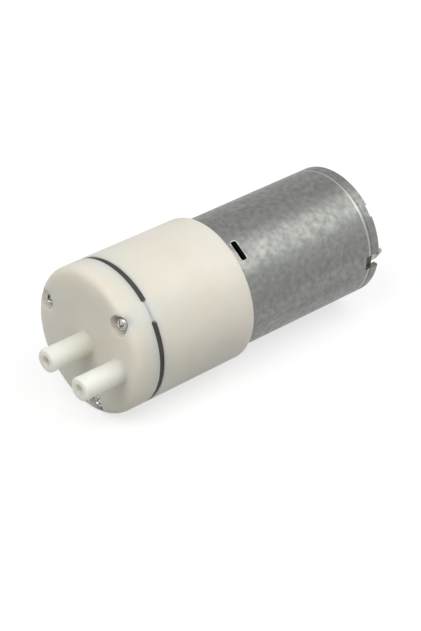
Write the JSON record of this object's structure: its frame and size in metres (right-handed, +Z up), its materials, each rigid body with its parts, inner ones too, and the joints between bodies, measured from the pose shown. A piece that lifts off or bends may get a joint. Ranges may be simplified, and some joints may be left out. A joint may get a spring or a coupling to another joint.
{
  "type": "mini air pump",
  "caption": "Small round diaphragm air pump: a white moulded head with two hose nozzles, driven by the bare round steel motor behind it.",
  "frame": {"origin": "on the pump's long axis, where the motor's front face meets the pump head", "axes": "+X along the axis from the nozzles towards the motor's rear, +Z up as the pump lies on its side"},
  "size_m": [0.0695, 0.027, 0.027],
  "materials": {
    "white_nylon": "satin moulded white plastic",
    "bright_screw": "bright plated",
    "black_rubber": "matt",
    "grey_acetal": "smooth",
    "ground_steel": "ground",
    "plated_steel": "zinc plated, slightly uneven",
    "bronze": "sintered",
    "core_steel": "stacked sheet",
    "copper": "enamelled wire and drawn copper",
    "ferrite": "ground grey",
    "end_plastic": "satin moulded plastic",
    "tinned_brass": "tinned",
    "carbon": "pressed carbon"
  },
  "bodies": {
    "pump_body": {"nozzle_cap": "white_nylon", "cap_screws": "bright_screw", "motor_screws": "bright_screw", "valve_gasket": "black_rubber", "valve_plate": "white_nylon", "outlet_valve": "black_rubber", "inlet_valve_1": "black_rubber", "inlet_valve_2": "black_rubber", "inlet_valve_3": "black_rubber", "diaphragm": "black_rubber", "chamber_plate": "white_nylon", "pump_housing": "white_nylon", "motor_can": "plated_steel", "front_bush": "bronze", "rear_bush": "bronze", "front_washer": "grey_acetal", "rear_washer": "grey_acetal", "magnet_1": "ferrite", "magnet_2": "ferrite", "magnet_spring": "core_steel", "end_cap": "end_plastic", "terminal_1": "tinned_brass", "terminal_2": "tinned_brass", "brush_1": "carbon", "brush_2": "carbon", "brush_arm_1": "bronze", "brush_arm_2": "bronze"},
    "rotor": {"motor_shaft": "ground_steel", "rotor_core": "core_steel", "coil_1": "copper", "coil_2": "copper", "coil_3": "copper", "commutator_core": "grey_acetal", "commutator_bars": "copper", "front_spacer": "grey_acetal", "eccentric_wheel": "grey_acetal"},
    "wobble": {"wobble_plate": "grey_acetal", "drive_pin": "ground_steel"}
  },
  "joints": [
    {"name": "rotor_spin", "type": "hinge", "parent": "pump_body", "child": "rotor", "pos_m": [0, 0, 0], "axis": [1, 0, 0], "continuous": true, "deforming": ["diaphragm"]},
    {"name": "wobble_turn", "type": "hinge", "parent": "rotor", "child": "wobble", "pos_m": [-0.016, 0, 0], "axis": [0.9903, 0.0256, 0.1368], "continuous": true}
  ],
  "couplings": [
    {"joint": "wobble_turn", "follows": "rotor_spin", "ratio": -1}
  ]
}
